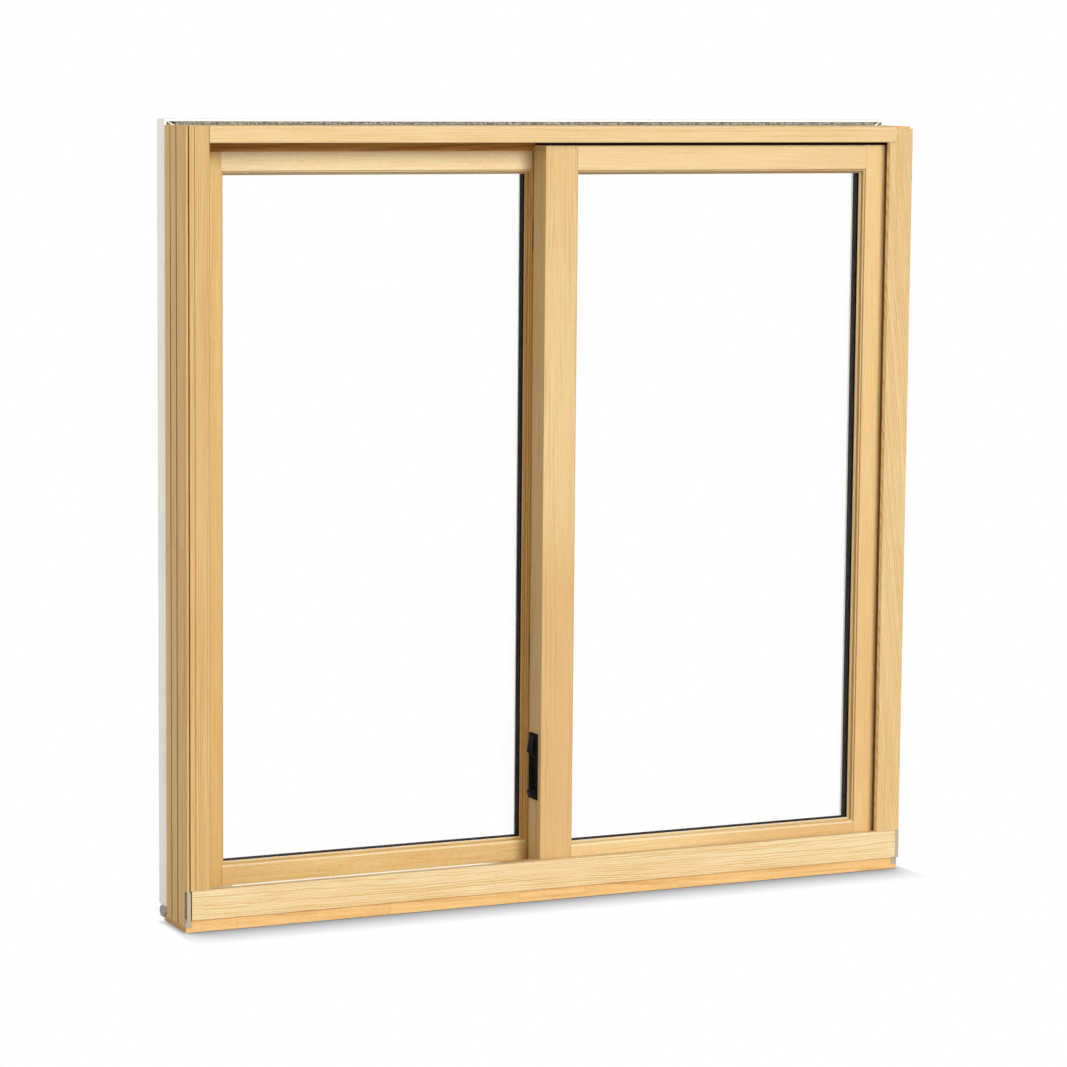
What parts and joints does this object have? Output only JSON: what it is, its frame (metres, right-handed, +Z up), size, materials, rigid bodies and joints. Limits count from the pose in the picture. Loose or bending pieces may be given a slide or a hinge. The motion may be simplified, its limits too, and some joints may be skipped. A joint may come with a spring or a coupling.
{
  "type": "sliding window",
  "caption": "Horizontal sliding window with a pine frame, one fixed and one sliding double-glazed sash, white outside cladding and a flush pull with a lock lever.",
  "frame": {"origin": "centre of the base of the bounding box, on the underside of the sill board", "axes": "+X to the right seen from the room, +Y towards the outside, +Z up; the room side faces -Y"},
  "size_m": [1.207, 0.123, 1.1925],
  "materials": {
    "pine": "clear finished pine with long grain",
    "clear_glass": "clear double glazing",
    "white_cladding": "pultruded cladding, off-white",
    "beige_plastic": "moulded end caps",
    "grey_foam": "closed-cell foam and moulded gaskets",
    "white_plastic": "vinyl tracks, guides and nylon rollers",
    "black_plastic": "head track",
    "black_enamel": "satin black handle",
    "zinc": "zinc-plated keepers, hooks and housings",
    "steel": "screws, pins and axles",
    "black_rubber": "gaskets, seals and warm-edge spacer"
  },
  "bodies": {
    "frame": {"sill_board": "pine", "left_jamb": "pine", "right_jamb": "pine", "head_jamb": "pine", "sill_stop": "pine", "head_stop": "pine", "left_jamb_stop": "pine", "right_jamb_stop": "pine", "parting_stop": "pine", "sill_track": "white_plastic", "track_cover": "white_plastic", "head_track": "black_plastic", "left_end_cap": "beige_plastic", "right_end_cap": "beige_plastic", "head_cladding": "white_cladding", "left_jamb_cladding": "white_cladding", "right_jamb_cladding": "white_cladding", "sill_cladding": "white_cladding", "left_corner_key": "white_cladding", "right_corner_key": "white_cladding", "left_corner_gasket": "grey_foam", "right_corner_gasket": "grey_foam", "head_foam_strip": "grey_foam", "travel_stop": "black_plastic", "jamb_seals": "black_rubber", "fixed_left_stile": "pine", "fixed_meeting_stile": "pine", "fixed_top_rail": "pine", "fixed_bottom_rail": "pine", "fixed_inner_pane": "clear_glass", "fixed_outer_pane": "clear_glass", "fixed_spacer": "black_rubber", "fixed_gasket": "black_rubber", "fixed_sash_cladding": "white_cladding", "upper_keeper": "zinc", "lower_keeper": "zinc", "keeper_screws": "steel"},
    "sash": {"sash_meeting_stile": "pine", "sash_pull_stile": "pine", "sash_top_rail": "pine", "sash_bottom_rail": "pine", "sash_inner_pane": "clear_glass", "sash_outer_pane": "clear_glass", "sash_spacer": "black_rubber", "sash_gasket": "black_rubber", "sash_cladding": "white_cladding", "handle_plate": "black_enamel", "handle_screws": "steel", "left_roller_housing": "zinc", "right_roller_housing": "zinc", "roller_axles": "steel", "top_guides": "white_plastic", "interlock_strip": "black_rubber", "lock_pins": "steel"},
    "lever": {"lock_lever": "black_enamel"},
    "drive_bar": {"drive_bar": "steel"},
    "upper_hook": {"upper_hook": "zinc"},
    "lower_hook": {"lower_hook": "zinc"},
    "left_roller": {"left_roller": "white_plastic"},
    "right_roller": {"right_roller": "white_plastic"}
  },
  "joints": [
    {"name": "sash_slide", "type": "slide", "parent": "frame", "child": "sash", "axis": [-1, 0, 0], "range_m": [0, 0.505]},
    {"name": "lever_hinge", "type": "hinge", "parent": "sash", "child": "lever", "pos_m": [-0.0228, -0.0211, 0.25095], "axis": [0, -1, 0], "range_deg": [0, 10]},
    {"name": "bar_slide", "type": "slide", "parent": "sash", "child": "drive_bar", "axis": [0, 0, 1], "range_m": [0, 0.007]},
    {"name": "upper_hook_hinge", "type": "hinge", "parent": "sash", "child": "upper_hook", "pos_m": [-0.006, -0.0135, 1.007], "axis": [-1, 0, 0], "range_deg": [0, 90]},
    {"name": "lower_hook_hinge", "type": "hinge", "parent": "sash", "child": "lower_hook", "pos_m": [-0.006, -0.0135, 0.373], "axis": [-1, 0, 0], "range_deg": [0, 90]},
    {"name": "left_roller_spin", "type": "hinge", "parent": "sash", "child": "left_roller", "pos_m": [0.0767, -0.025, 0.0343], "axis": [0, 1, 0], "continuous": true},
    {"name": "right_roller_spin", "type": "hinge", "parent": "sash", "child": "right_roller", "pos_m": [0.4805, -0.025, 0.0343], "axis": [0, 1, 0], "continuous": true}
  ],
  "couplings": [
    {"joint": "bar_slide", "follows": "lever_hinge", "m_per_rad": 0.03953},
    {"joint": "upper_hook_hinge", "follows": "lever_hinge", "ratio": 9},
    {"joint": "lower_hook_hinge", "follows": "lever_hinge", "ratio": 9},
    {"joint": "left_roller_spin", "follows": "sash_slide", "rad_per_m": -125},
    {"joint": "right_roller_spin", "follows": "sash_slide", "rad_per_m": -125}
  ]
}
